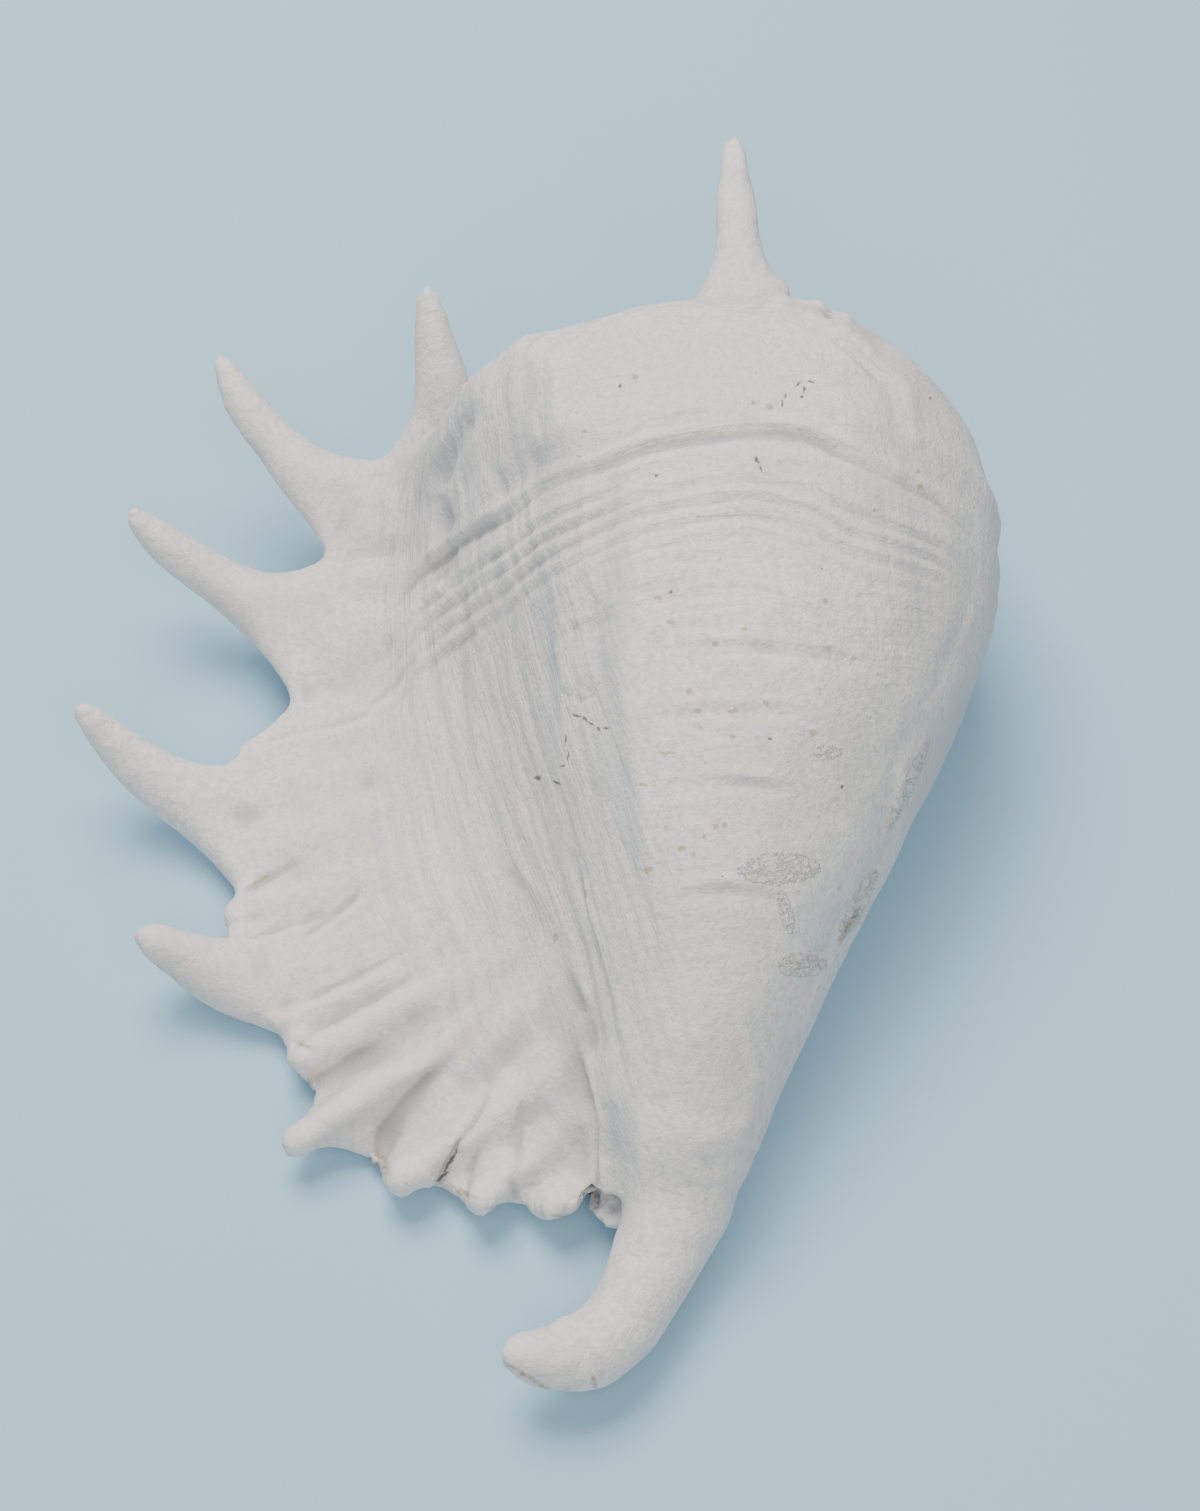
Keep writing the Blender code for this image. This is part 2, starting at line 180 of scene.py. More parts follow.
def edit_selected(piece, level, chosen):
    """Opens the piece for editing, with only these of its points or faces selected."""
    mesh = piece.data
    for members in (mesh.vertices, mesh.edges, mesh.polygons):
        members.foreach_set("select", np.zeros(len(members), dtype=bool))
    getattr(mesh, level).foreach_set("select", chosen)
    bpy.context.tool_settings.mesh_select_mode = (level == "vertices", False, level == "polygons")
    bpy.ops.object.mode_set(mode="EDIT")


# Only what hangs together with the tip of the back spine stays, and no crumb inside the wall.
points, normals = points_of(conch)
edit_selected(conch, "vertices", points[:, 1] == points[:, 1].max())
bpy.ops.mesh.select_linked()
bpy.ops.mesh.select_all(action="INVERT")
bpy.ops.mesh.delete(type="VERT")
bpy.ops.object.mode_set(mode="OBJECT")

# Finer faces go where the relief is: on all that faces up or outwards, but not in the mouth.
BACK_ABOVE = 34
LIP_BEYOND = -25
CANAL_BEYOND = -80
SIDEWAYS = -0.1
FINE_ROUNDS = 10
points, normals = points_of(conch)
outside = (points[:, 2] > BACK_ABOVE) | (points[:, 0] < LIP_BEYOND) | (points[:, 1] < CANAL_BEYOND)
fine = outside & (normals[:, 2] > SIDEWAYS)
corners = np.zeros(len(conch.data.loops), dtype=np.int32)
conch.data.loops.foreach_get("vertex_index", corners)
starts = np.zeros(len(conch.data.polygons), dtype=np.int32)
conch.data.polygons.foreach_get("loop_start", starts)
edit_selected(conch, "polygons", np.minimum.reduceat(fine[corners].astype(np.int8), starts) > 0)
bpy.ops.mesh.subdivide(number_cuts=1, smoothness=0)
bpy.ops.object.mode_set(mode="OBJECT")
soften(conch, FINE_ROUNDS)

# The lines of growth
# Every point of the shell has two measures, in millimetres: how far along the shell its spiral
# line lies, and how far it is round that line from the foot of the back's slope. Fine threads
# follow the first, and the lines of growth follow the second.
WHORL = (
    # place, foot x, foot z, middle x, middle z, radius
    (-160, -22, 19, -21, 19, 4),
    (-140, -6, 14, -2, 14, 9),
    (-112, 4, 15, 14, 15, 10),
    (-98, 4, 20, 19, 20, 15),
    (-88, -1, 21, 19, 24, 18),
    (-60, -9, 27, 24, 31, 29),
    (-30, -20, 32, 29, 38, 40),
    (0, -31, 34, 34, 44, 50),
    (30, -38, 36, 36, 49, 54),
    (55, -42, 42, 35, 52, 57),
    (72, -44, 50, 30, 55, 57),
    (84, -40, 58, 26, 57, 52),
    (91, -24, 62, 27, 58, 46),
    (103, 15, 67, 41, 60, 24),
    (125, 20, 60, 50, 62, 12),
)
RIBS = (
    # place, edge x, edge y
    (-98, 1.5, -98.5),
    (-91, -9, -103),
    (-80, -27.5, -101),
    (-67, -46, -95.5),
    (-50, -73, -85.5),
    (-36, -75, -53),
    (-20, -86, -31),
    (-8, -86, -16.5),
    (24, -87, 20),
    (32, -75, 32),
    (60, -68, 69),
    (76, -54, 91.5),
    (88, -27, 103),
)
WING_SPAN = 55.0
LIP_STARTS = -112
# The way round begins at the mouth's edge, this far round from straight down at each place.
MOUTH_PLACES = (-75.0, -20.0)
MOUTH_TURNS = (math.radians(40), math.radians(50))


def growth_measures(points):
    """The place and the way round of each point, both in millimetres."""
    whorl = np.array(WHORL, float)
    ribs = np.array(RIBS, float)
    x, y, z = points.T
    foot_x, foot_z, middle_x, middle_z, radius = (
        np.interp(y, whorl[:, 0], whorl[:, k]) for k in range(1, 6)
    )
    start = np.interp(y, MOUTH_PLACES, MOUTH_TURNS)
    turn = (np.arctan2(middle_x - x, middle_z - z) - start) % (2 * math.pi) + start
    foot_turn = np.arctan2(middle_x - foot_x, middle_z - foot_z)
    place = y.copy()
    across = (turn - foot_turn) * radius
    feet = np.stack([np.interp(ribs[:, 0], whorl[:, 0], whorl[:, 1]), ribs[:, 0]], axis=1)
    edges = ribs[:, 1:]
    sides = []
    for foot, edge in zip(feet, edges, strict=True):
        along = (edge - foot) / np.linalg.norm(edge - foot)
        sides.append(along[0] * (y - foot[1]) - along[1] * (x - foot[0]))
    on_wing = (x < foot_x) & (y > LIP_STARTS)
    for k in range(len(ribs) - 1):
        between = on_wing & (sides[k] <= 0) & (sides[k + 1] >= 0)
        share = sides[k] / np.where(between, sides[k] - sides[k + 1], 1)
        at = ribs[k, 0] + share * (ribs[k + 1, 0] - ribs[k, 0])
        foot = np.stack([feet[k, n] + share * (feet[k + 1, n] - feet[k, n]) for n in (0, 1)])
        edge = np.stack([edges[k, n] + share * (edges[k + 1, n] - edges[k, n]) for n in (0, 1)])
        reach = np.hypot(x - foot[0], y - foot[1]) / np.maximum(
            np.hypot(edge[0] - foot[0], edge[1] - foot[1]), 1
        )
        place = np.where(between, at, place)
        across = np.where(between, -reach * WING_SPAN, across)
    return place, across


# The chart of the back
# The relief that can be seen from above is placed on a chart of the shell, drawn from the canal's
# end and 60 degrees up. Its squares are the pixels of the photograph, 1200 wide and 1511 high, a
# little under a quarter of a millimetre each, counted from the upper left corner.
CHART_MIDDLE = (600.0, 755.5)
CHART_HEIGHT = 1511
LENS = 85.0
SENSOR = 36.0
CAMERA_DISTANCE = 840.0
CAMERA_ANGLE = math.radians(60)
CAMERA_TARGET = np.array([0.0, 0.0, 45.0])
TOWARDS_CAMERA = np.array([0.0, -math.cos(CAMERA_ANGLE), math.sin(CAMERA_ANGLE)])


def chart_places(points):
    """Where each point lies on the chart."""
    from_target = points - CAMERA_TARGET
    depth = CAMERA_DISTANCE - from_target @ TOWARDS_CAMERA
    square = depth * SENSOR / LENS / CHART_HEIGHT
    upwards = from_target[:, 1] * math.sin(CAMERA_ANGLE) + from_target[:, 2] * math.cos(CAMERA_ANGLE)
    right = CHART_MIDDLE[0] + from_target[:, 0] / square
    return np.stack([right, CHART_MIDDLE[1] - upwards / square], axis=1)


def ridge(at, centre, half_width):
    """A smooth ridge of height 1 at the centre."""
    return np.exp(-(((at - centre) / half_width) ** 2))


def step(at, start, end):
    """0 before start, 1 after end, and smooth between."""
    share = np.clip((at - start) / (end - start), 0, 1)
    return share * share * (3 - 2 * share)


def from_line(spots, line):
    """Each spot's distance from the line, above nought on its right-hand side, and how far along."""
    line = np.array(line, float)
    nearest = np.full(len(spots), 1e9)
    signed = np.full(len(spots), 1e9)
    along = np.zeros(len(spots))
    lengths = np.linalg.norm(np.diff(line, axis=0), axis=1)
    walked = 0.0
    for start, end, length in zip(line[:-1], line[1:], lengths, strict=True):
        run = (end - start) / length
        offset = spots - start
        reached = np.clip(offset @ run, 0, length)
        gap = np.linalg.norm(offset - reached[:, None] * run, axis=1)
        side = np.where(run[0] * offset[:, 1] - run[1] * offset[:, 0] < 0, -1.0, 1.0)
        closer = gap < nearest
        nearest = np.where(closer, gap, nearest)
        signed = np.where(closer, gap * side, signed)
        along = np.where(closer, (walked + reached) / lengths.sum(), along)
        walked += length
    return signed, along


UNEVEN_SIZE = 13
points, normals = points_of(conch)
chart = chart_places(points)
seen = step(normals @ TOWARDS_CAMERA, -0.05, 0.25)
lift = np.zeros(len(points))
uneven = np.array([lumps.noise(Vector(point) / UNEVEN_SIZE) for point in points])


def near_line(line, margin):
    """The points near a line on the chart, with their distances from it and places along it."""
    corners_of_line = np.array(line, float)
    low = corners_of_line.min(axis=0) - margin
    high = corners_of_line.max(axis=0) + margin
    near = np.flatnonzero((seen > 0) & (chart > low).all(axis=1) & (chart < high).all(axis=1))
    signed, along = from_line(chart[near], line)
    return near, signed, along


# How uneven a cord is, and where the groove beside it lies and how wide it is, both in the
# cord's half widths.
LINE_UNEVENNESS = 1.1
SIDE_GROOVE_AT = 2.1
SIDE_GROOVE_WIDTH = 1.4


def raise_line(line, half_width, height, groove=0.0, fade=0.12, far_fade=0.12):
    """Raises a cord or cuts a fold along a line on the chart, with a groove on its right-hand side."""
    near, signed, along = near_line(line, 5 * half_width)
    ends = step(along, 0, fade) * step(along, 1, 1 - far_fade) * seen[near]
    ends = ends * (1 + LINE_UNEVENNESS * uneven[near])
    lift[near] += height * ridge(signed, 0, half_width) * ends
    beside = ridge(signed, SIDE_GROOVE_AT * half_width, SIDE_GROOVE_WIDTH * half_width)
    lift[near] -= groove * beside * ends


def raise_ledge(line, width, height, edge=3.0):
    """Lifts the surface on the right-hand side of a line, and sinks it on the other side."""
    near, signed, along = near_line(line, 3 * width)
    ends = step(along, 0, 0.15) * step(along, 1, 0.75) * seen[near]
    lift[near] += height * np.tanh(signed / edge) * ridge(signed, 0, width) * ends


def raise_spot(x, y, radius, height, all_round=False):
    """Raises a soft knob, or sinks a hollow, at a place on the chart."""
    gap = np.hypot(chart[:, 0] - x, chart[:, 1] - y)
    lift[:] += height * ridge(gap, 0, radius) * (1 if all_round else seen)


# The cords
# The animal's edge carried small swellings, and each left a raised cord round the shell. The
# strongest runs where the back turns over, with a groove in front of it, and others follow it.
MAIN_CORD = (
    (310, 668),
    (350, 632),
    (392, 594),
    (420, 562),
    (448, 538),
    (480, 518),
    (507, 502),
    (537, 477),
    (564, 466),
    (609, 454),
    (647, 438),
    (695, 428),
    (743, 422),
    (780, 422),
    (815, 427),
    (845, 440),
    (875, 456),
    (908, 474),
    (940, 492),
    (968, 520),
    (985, 560),
)
SPREAD_AT = (
    # x, how far the cords are spread
    (392, 1.2),
    (541, 1.15),
    (609, 0.97),
    (755, 1.0),
    (849, 1.18),
    (908, 1.01),
    (985, 0.85),
)
LOWER_CORDS = (
    # how far below the main cord, half width, height, first and last x
    (33, 5, 0.45, 385, 640),
    (50, 5, 0.48, 365, 985),
    (67, 5, 0.45, 350, 985),
    (86, 5, 0.38, 345, 980),
    (105, 4.5, 0.26, 560, 960),
    (158, 5, 0.2, 640, 900),
)
FAINT_CORDS = (
    ((550, 634), (567, 621), (592, 615), (635, 593)),
    ((640, 642), (700, 636), (760, 637), (830, 647), (880, 664)),
    ((630, 712), (700, 700), (780, 700), (850, 716)),
    ((628, 796), (660, 781), (700, 774), (740, 773), (790, 779), (840, 792)),
    ((650, 902), (681, 886), (720, 880), (760, 884), (800, 896)),
)


def below_main_cord(places):
    """How far each place on the chart lies below the main cord, drawn together where the cords are."""
    x = places[:, 0]
    return (places[:, 1] - np.interp(x, *zip(*MAIN_CORD, strict=True))) / np.interp(
        x, *zip(*SPREAD_AT, strict=True)
    )


MAIN_HEIGHT = 0.95
MAIN_HALF_WIDTH = 6.5
GROOVE_DEPTH = 1.1
GROOVE_BELOW = 12.5
GROOVE_HALF_WIDTH = 5.5
# Where on the chart, from x to x, the main cord comes up, ends, grows weaker towards its end,
# and gains a little strength on the left.
MAIN_STARTS = (375, 435)
MAIN_ENDS = (995, 935)
MAIN_WEAKENS = (1000, 860)
MAIN_STRONG_LEFT = (680, 600)
# The same for the cords below it. The groove under each is as deep as this share of the cord's
# height, and lies this far below it.
LOWER_START = 35
LOWER_END = 60
LOWER_STRONG_LEFT = (690, 610)
LOWER_GROOVE_SHARE = 0.7
LOWER_GROOVE_BELOW = 9
below = below_main_cord(chart)
chart_right = chart[:, 0]
ends = seen * step(chart_right, *MAIN_STARTS) * step(chart_right, *MAIN_ENDS) * (1 + 0.6 * uneven)
ends = ends * step(chart_right, *MAIN_WEAKENS) ** 0.4
ends = ends * (1 + 0.12 * step(chart_right, *MAIN_STRONG_LEFT))
lift += MAIN_HEIGHT * ridge(below, 0, MAIN_HALF_WIDTH) * ends
lift -= GROOVE_DEPTH * ridge(below, GROOVE_BELOW, GROOVE_HALF_WIDTH) * ends
for at, half_width, height, first_x, last_x in LOWER_CORDS:
    ends = seen * step(chart_right, first_x, first_x + LOWER_START)
    ends = ends * step(chart_right, last_x, last_x - LOWER_END)
    ends = ends * (1 + 0.65 * uneven) * (1 + 0.4 * step(chart_right, *LOWER_STRONG_LEFT))
    lift += height * ridge(below, at, half_width) * ends
    lift -= LOWER_GROOVE_SHARE * height * ridge(below, at + LOWER_GROOVE_BELOW, half_width) * ends
for line in FAINT_CORDS:
    raise_line(line, 5.5, 0.36, groove=0.42, fade=0.25, far_fade=0.3)

# Folds of the slope
# Where the lip stood at earlier ages the slope is pleated from the top of the hump down to the
# canal, and the youngest fold steps up to the smooth top of the back.
PLEATS = (
    # half width, height, line
    (18, -2.0, ((488, 486), (512, 470), (540, 458), (572, 446))),
    (16, -1.2, ((486, 398), (455, 440), (432, 484), (412, 524), (396, 566))),
    (6, 0.9, ((476, 392), (445, 436), (420, 474), (394, 516), (382, 552))),
    (16, 1.0, ((290, 440), (330, 470), (370, 492), (400, 500))),
    (18, 1.0, ((220, 588), (300, 592), (350, 582), (400, 560))),
    (16, -1.1, ((325, 530), (360, 545), (410, 575))),
    (20, 1.2, ((180, 752), (260, 742), (330, 732), (410, 700))),
    (16, -1.1, ((290, 690), (340, 682), (400, 640))),
    (16, -1.0, ((190, 830), (250, 815), (320, 800), (390, 770))),
    (9, 0.6, ((215, 868), (270, 850), (330, 828), (390, 800))),
    (5, 0.5, ((588, 470), (583, 520), (584, 560), (590, 595))),
    (4, -0.35, ((588, 565), (592, 592), (602, 612), (606, 648), (613, 682), (618, 721), (625, 760))),
    (7, 0.3, ((606, 560), (612, 600), (620, 650), (628, 700), (636, 760), (650, 850), (656, 920))),
    (4, -0.35, ((620, 748), (632, 800), (643, 856), (648, 906), (658, 960), (670, 1010))),
    (4, -0.7, ((560, 790), (569, 830), (579, 876), (590, 930), (602, 985))),
    (6, 0.4, ((575, 800), (590, 860), (606, 930), (622, 990))),
    (5, -0.35, ((545, 575), (546, 640), (548, 700), (552, 760), (556, 820))),
    (4, 0.3, ((556, 570), (558, 640), (561, 700), (566, 760))),
    (4, -0.3, ((570, 590), (572, 650), (577, 710), (586, 770), (596, 830))),
    (5, 0.4, ((520, 600), (514, 660), (512, 720), (516, 780), (528, 850))),
    (6, -0.35, ((500, 640), (492, 700), (488, 760), (494, 820))),
    (7, 0.6, ((490, 366), (478, 420), (466, 462), (455, 505))),
    (7, -0.5, ((503, 372), (500, 420), (500, 465))),
    (6, 0.35, ((516, 362), (516, 400), (520, 440))),
    (5, -0.3, ((528, 360), (532, 400), (540, 440))),
    (10, -1.1, ((430, 492), (440, 520), (447, 550), (440, 590))),
    (7, 0.5, ((420, 560), (414, 600), (404, 650))),
    (9, -0.6, ((470, 415), (455, 455), (436, 490))),
    (5, -0.3, ((886, 372), (894, 410), (897, 450))),
    (6, 0.35, ((905, 380), (915, 420), (918, 450))),
    (6, -0.5, ((470, 560), (462, 610), (458, 660), (462, 720))),
    (7, 0.5, ((486, 560), (480, 620), (477, 690), (482, 760))),
    (4, -0.4, ((620, 470), (612, 520), (608, 560), (610, 600))),
    (5, -0.45, ((560, 690), (580, 700), (590, 694), (575, 680))),
    (6, -0.5, ((505, 860), (530, 900), (560, 960), (585, 1020))),
    (5, 0.4, ((520, 860), (545, 900), (572, 960), (592, 1010))),
)
LEDGES = (
    # width, height, edge, line with the higher ground on its right-hand side
    (15, 0.4, 3, ((641, 900), (628, 800), (616, 730), (604, 655), (598, 610), (587, 575), (584, 520))),
    (14, 0.4, 3, ((602, 990), (590, 930), (577, 870), (566, 800))),
    (24, 0.8, 9, ((405, 540), (430, 497), (452, 458), (470, 420), (480, 385))),
    (
        26,
        1.7,
        3,
        ((598, 1215), (597, 1180), (597, 1150), (598, 1125), (596, 1100), (586, 1068), (572, 1040)),
    ),
    (14, 0.7, 3, ((238, 757), (290, 739), (340, 728), (400, 712))),
    (14, 0.6, 3, ((240, 942), (270, 936), (330, 916), (380, 890))),
    (12, -0.6, 4, ((985, 575), (972, 625), (937, 707), (909, 762), (897, 818), (868, 884))),
    (18, 1.3, 3, ((690, 292), (723, 306), (773, 315), (801, 324), (832, 339), (856, 357), (900, 395))),
)
for half_width, height, line in PLEATS:
    raise_line(line, half_width, height)
for width, height, edge, line in LEDGES:
    raise_ledge(line, width, height, edge)

# Flutes of the lip
# Short fingers that never grew out leave the lower lip fluted like a fan, with deep furrows that
# run in from its crinkled edge.
FLUTES = (
    # half width, height, line from beyond the edge inwards
    (5, -1.0, ((236, 896), (247, 889), (272, 875), (305, 857), (345, 830))),
    (9, 0.8, ((215, 912), (240, 902), (275, 895), (320, 882))),
    (6, -0.5, ((225, 924), (250, 920), (285, 912))),
    (8, 0.5, ((225, 936), (250, 932), (290, 922))),
    (3.5, -0.6, ((300, 940), (311, 930), (339, 912), (360, 887), (388, 860), (405, 840))),
    (4, 0.35, ((306, 946), (324, 932), (350, 913), (372, 890), (396, 864))),
    (4, -0.65, ((300, 1003), (324, 992), (360, 973), (400, 952), (428, 928), (461, 906), (505, 890))),
    (5, 0.4, ((330, 1000), (366, 982), (406, 961), (436, 936), (470, 914))),
    (9, 1.5, ((265, 1024), (290, 1016), (318, 1006), (352, 992), (400, 970), (450, 940))),
    (7, -1.1, ((292, 1048), (312, 1032), (340, 1018), (376, 1000), (425, 972))),
    (9, 1.3, ((284, 1068), (306, 1052), (332, 1038), (372, 1014), (420, 985), (470, 948))),
    (10, -2.0, ((296, 1098), (314, 1084), (338, 1069), (373, 1048), (409, 1023), (455, 990))),
    (15, 2.2, ((270, 1156), (296, 1138), (320, 1122), (350, 1102), (385, 1079), (425, 1047), (470, 1010))),
    (10, -2.0, ((368, 1178), (378, 1154), (388, 1134), (404, 1108), (430, 1079), (460, 1050), (495, 1015))),
    (17, 1.6, ((394, 1204), (403, 1178), (416, 1152), (434, 1122), (457, 1093), (490, 1055))),
    (4, -1.8, ((432, 1194), (444, 1175), (453, 1159), (460, 1143), (472, 1124), (487, 1098), (506, 1066))),
    (5, 0.6, ((452, 1196), (462, 1168), (472, 1144), (486, 1118))),
    (4, -0.6, ((462, 1204), (470, 1176), (478, 1150), (488, 1124))),
    (14, 1.5, ((478, 1222), (482, 1196), (486, 1162), (494, 1124), (507, 1084), (524, 1042))),
    (6, -1.2, ((514, 1218), (515, 1190), (515, 1162), (518, 1128), (526, 1090), (540, 1050))),
    (17, 1.4, ((550, 1230), (551, 1200), (551, 1164), (548, 1128), (546, 1092), (552, 1055))),
    (9, -1.0, ((580, 1205), (578, 1170), (574, 1130), (566, 1090), (556, 1040))),
    (4, -1.2, ((597, 1215), (597, 1186), (596, 1160), (598, 1128), (594, 1100), (580, 1060), (562, 1015))),
)
for half_width, height, line in FLUTES:
    raise_line(line, half_width, height, fade=0.08, far_fade=0.6)

# Knobs, dents and the hooked canal
# The turns of the spire show as steps behind the back spine, the hump is rounded off to the left,
# and the canal has the dents and facets of a thick worn horn.
RELIEF_LINES = (
    # half width, height, line
    (5, 0.7, ((980, 580), (968, 625), (933, 705), (905, 760), (893, 816), (864, 880))),
    (
        4,
        -1.3,
        ((690, 293), (723, 307), (745, 312), (773, 316), (801, 325), (832, 340), (856, 358), (890, 388)),
    ),
    (3.5, -0.5, ((749, 309), (762, 301), (780, 291))),
    (5, 0.6, ((795, 301), (825, 318), (858, 334), (882, 356))),
    (7, -0.7, ((612, 1100), (613, 1130), (614, 1165))),
    (9, 0.6, ((640, 1100), (642, 1150), (650, 1210), (648, 1260))),
    (9, 0.5, ((694, 1144), (725, 1132), (752, 1120))),
    (10, -0.6, ((700, 1172), (728, 1160), (756, 1146))),
    (7, -0.7, ((566, 1314), (578, 1336), (594, 1362), (610, 1385))),
    (6, 0.6, ((740, 1000), (752, 1050), (760, 1090))),
    (5, 0.8, ((905, 826), (880, 880), (858, 918), (838, 955), (815, 1000), (798, 1045))),
    (8, -0.7, ((893, 828), (866, 884), (845, 922), (822, 962))),
)
RELIEF_SPOTS = (
    # x, y, radius, height
    (527, 350, 24, 1.7),
    (573, 348, 16, -0.9),
    (640, 318, 22, 0.8),
    (523, 447, 26, -1.3),
    (818, 303, 8, 1.3),
    (831, 312, 4, -1.2),
    (846, 320, 8, 1.1),
    (563, 1320, 13, 1.5),
    (534, 1334, 10, -0.7),
    (688, 1186, 6, -0.6),
    (693, 1159, 5, -0.5),
    (712, 1188, 7, -0.5),
    (610, 1206, 9, -1.4),
    (779, 868, 26, 0.3),
    (252, 748, 12, 1.0),
    (884, 334, 18, -1.6),
    (600, 1040, 20, -0.8),
    (441, 522, 14, -2.0),
)
# The rounded ends of the lip's flutes.
LOBES = (
    # x, y, radius, height
    (232, 920, 14, 1.0),
    (294, 1022, 12, 1.2),
    (306, 1062, 10, 1.2),
    (296, 1142, 17, 1.3),
    (402, 1182, 15, 1.4),
    (484, 1204, 13, 1.2),
    (552, 1208, 15, 1.2),
    (427, 1181, 10, 1.5),
    (504, 1203, 9, 1.2),
    (574, 1204, 9, 0.9),
)
# The fingers' tips, a knob of the spire, the hump's left side and the root of the canal.
TIPS = (
    # x, y, radius, height
    (425, 292, 20, 0.7),
    (220, 358, 20, 0.7),
    (132, 518, 20, 0.8),
    (84, 714, 22, 0.9),
    (143, 940, 20, 0.7),
    (735, 150, 18, 0.5),
    (788, 290, 15, 2.2),
    (747, 1196, 18, -1.0),
    (455, 368, 20, 1.0),
)
for half_width, height, line in RELIEF_LINES:
    raise_line(line, half_width, height)
for spot in RELIEF_SPOTS:
    raise_spot(*spot)
for tip in TIPS + LOBES:
    raise_spot(*tip, all_round=True)

# Cords where the chart doesn't reach
# The same cords go on round the far flank and under the body, and the whole surface is a little
# uneven, as lime laid down year by year is.
HIDDEN_CORDS = (
    # place, height
    (56, 0.5),
    (45, 0.6),
    (39, 0.6),
    (34, 0.5),
    (29, 0.4),
    (15, 0.35),
    (0, 0.25),
    (-18, 0.25),
)
HIDDEN_HALF_WIDTH = 1.6
FAR_FLANK = 20
LUMP_SIZES = (17, 7, 2)
LUMP_HEIGHTS = (0.8, 0.3, 0.06)
PLEAT_WIDTH = 3.4
PLEAT_LENGTH = 45
PLEAT_HEIGHT = 0.7
place, across = growth_measures(points)
unseen = (1 - seen) * step(normals[:, 2], -0.9, -0.5) * (points[:, 0] > FAR_FLANK)
for at, height in HIDDEN_CORDS:
    lift += height * ridge(place, at, HIDDEN_HALF_WIDTH) * unseen
slope = seen * step(across, -35, -8) * step(across, 62, 38) * step(place, -95, -70) * step(place, 100, 80)
for k, point in enumerate(points):
    where = Vector(point)
    broad, middling, small = (
        height * lumps.noise(where / size) for size, height in zip(LUMP_SIZES, LUMP_HEIGHTS, strict=True)
    )
    along_folds = Vector((across[k] / PLEAT_WIDTH, place[k] / PLEAT_LENGTH, 1.0))
    pleats = PLEAT_HEIGHT * lumps.noise(along_folds)
    lift[k] += broad + middling * seen[k]
    lift[k] += small * seen[k] + pleats * slope[k]
set_points(conch, points + normals * lift[:, None])

# The edges of the mouth and the walls of the canal are worn smooth.
WORN_ROUNDS = 12
MOUTH_LINE = ((-22, 34), (-11, -31), (0, -75))
CANAL_LINE = ((-7, -140), (-4, -138), (3, -132), (9, -123), (13, -113))
points, normals = points_of(conch)
hidden = 1 - step(normals @ TOWARDS_CAMERA, -0.3, 0.0)
from_mouth = np.abs(from_line(points[:, :2], MOUTH_LINE)[0])
from_canal = np.abs(from_line(points[:, :2], CANAL_LINE)[0])
in_canal = step(from_canal, 9, 5) * step(points[:, 2], 18, 10)
worn = np.maximum(hidden * step(from_mouth, 13, 8), in_canal)
set_points(conch, points + worn[:, None] * (evened(conch, points, WORN_ROUNDS) - points))

# What the finish needs to know at every point: how deep it lies in a furrow or a hollow, in
# millimetres, and which part of the shell it is on, from 0 to 1.
NARROW_ROUNDS = 10
WIDE_ROUNDS = 60
points, normals = points_of(conch)
place, across = growth_measures(points)
chart = chart_places(points)
seen = step(normals @ TOWARDS_CAMERA, -0.3, 0.0)
below = below_main_cord(chart)
corded = step(chart[:, 0], 350, 420) * step(chart[:, 0], 990, 950) * step(below, -45, -15)
corded = corded * step(below, 230, 120) * seen
furrow = ((evened(conch, points, NARROW_ROUNDS) - points) * normals).sum(axis=1)
hollow = ((evened(conch, points, WIDE_ROUNDS) - points) * normals).sum(axis=1)
slope = step(across, -40, -8) * step(across, 62, 38) * step(place, 100, 80)
slope = slope * step(chart[:, 1], 1060, 880)
panel = step(across, 20, 45) * step(across, 150, 120) * step(place, -75, -50) * step(place, 92, 80)
for name, values in (
    ("below", below),
    ("corded", corded),
    ("furrow", furrow),
    ("hollow", hollow),
    ("slope", slope),
    ("panel", panel),
    ("place", place),
    ("across", across),
    ("chart_x", chart[:, 0]),
    ("chart_y", chart[:, 1]),
    ("seen", seen),
):
    layer = conch.data.attributes.new(name, "FLOAT", "POINT")
    layer.data.foreach_set("value", values.astype(np.float32))


# The bleached surface
# Sun and sea have taken the skin and the colour: dry chalky white, a little warm on the back, with painted
# shade greying the folds, and with fine growth lines, worm pits and a few brown specks.
class Measure:
    """A number that varies over a surface. Python's operators on it add Math nodes."""

    def __init__(self, look, socket):
        self.look = look
        self.socket = socket

    def maths(self, operation, first, second):
        """Adds a Math node and returns what comes out of it."""
        return self.look.node("ShaderNodeMath", {"operation": operation}, {0: first, 1: second})

    def __add__(self, other):
        return self.maths("ADD", self, other)

    def __mul__(self, other):
        return self.maths("MULTIPLY", self, other)

    def __sub__(self, other):
        return self.maths("SUBTRACT", self, other)

    def __rsub__(self, other):
        return self.maths("SUBTRACT", other, self)

    __radd__ = __add__
    __rmul__ = __mul__


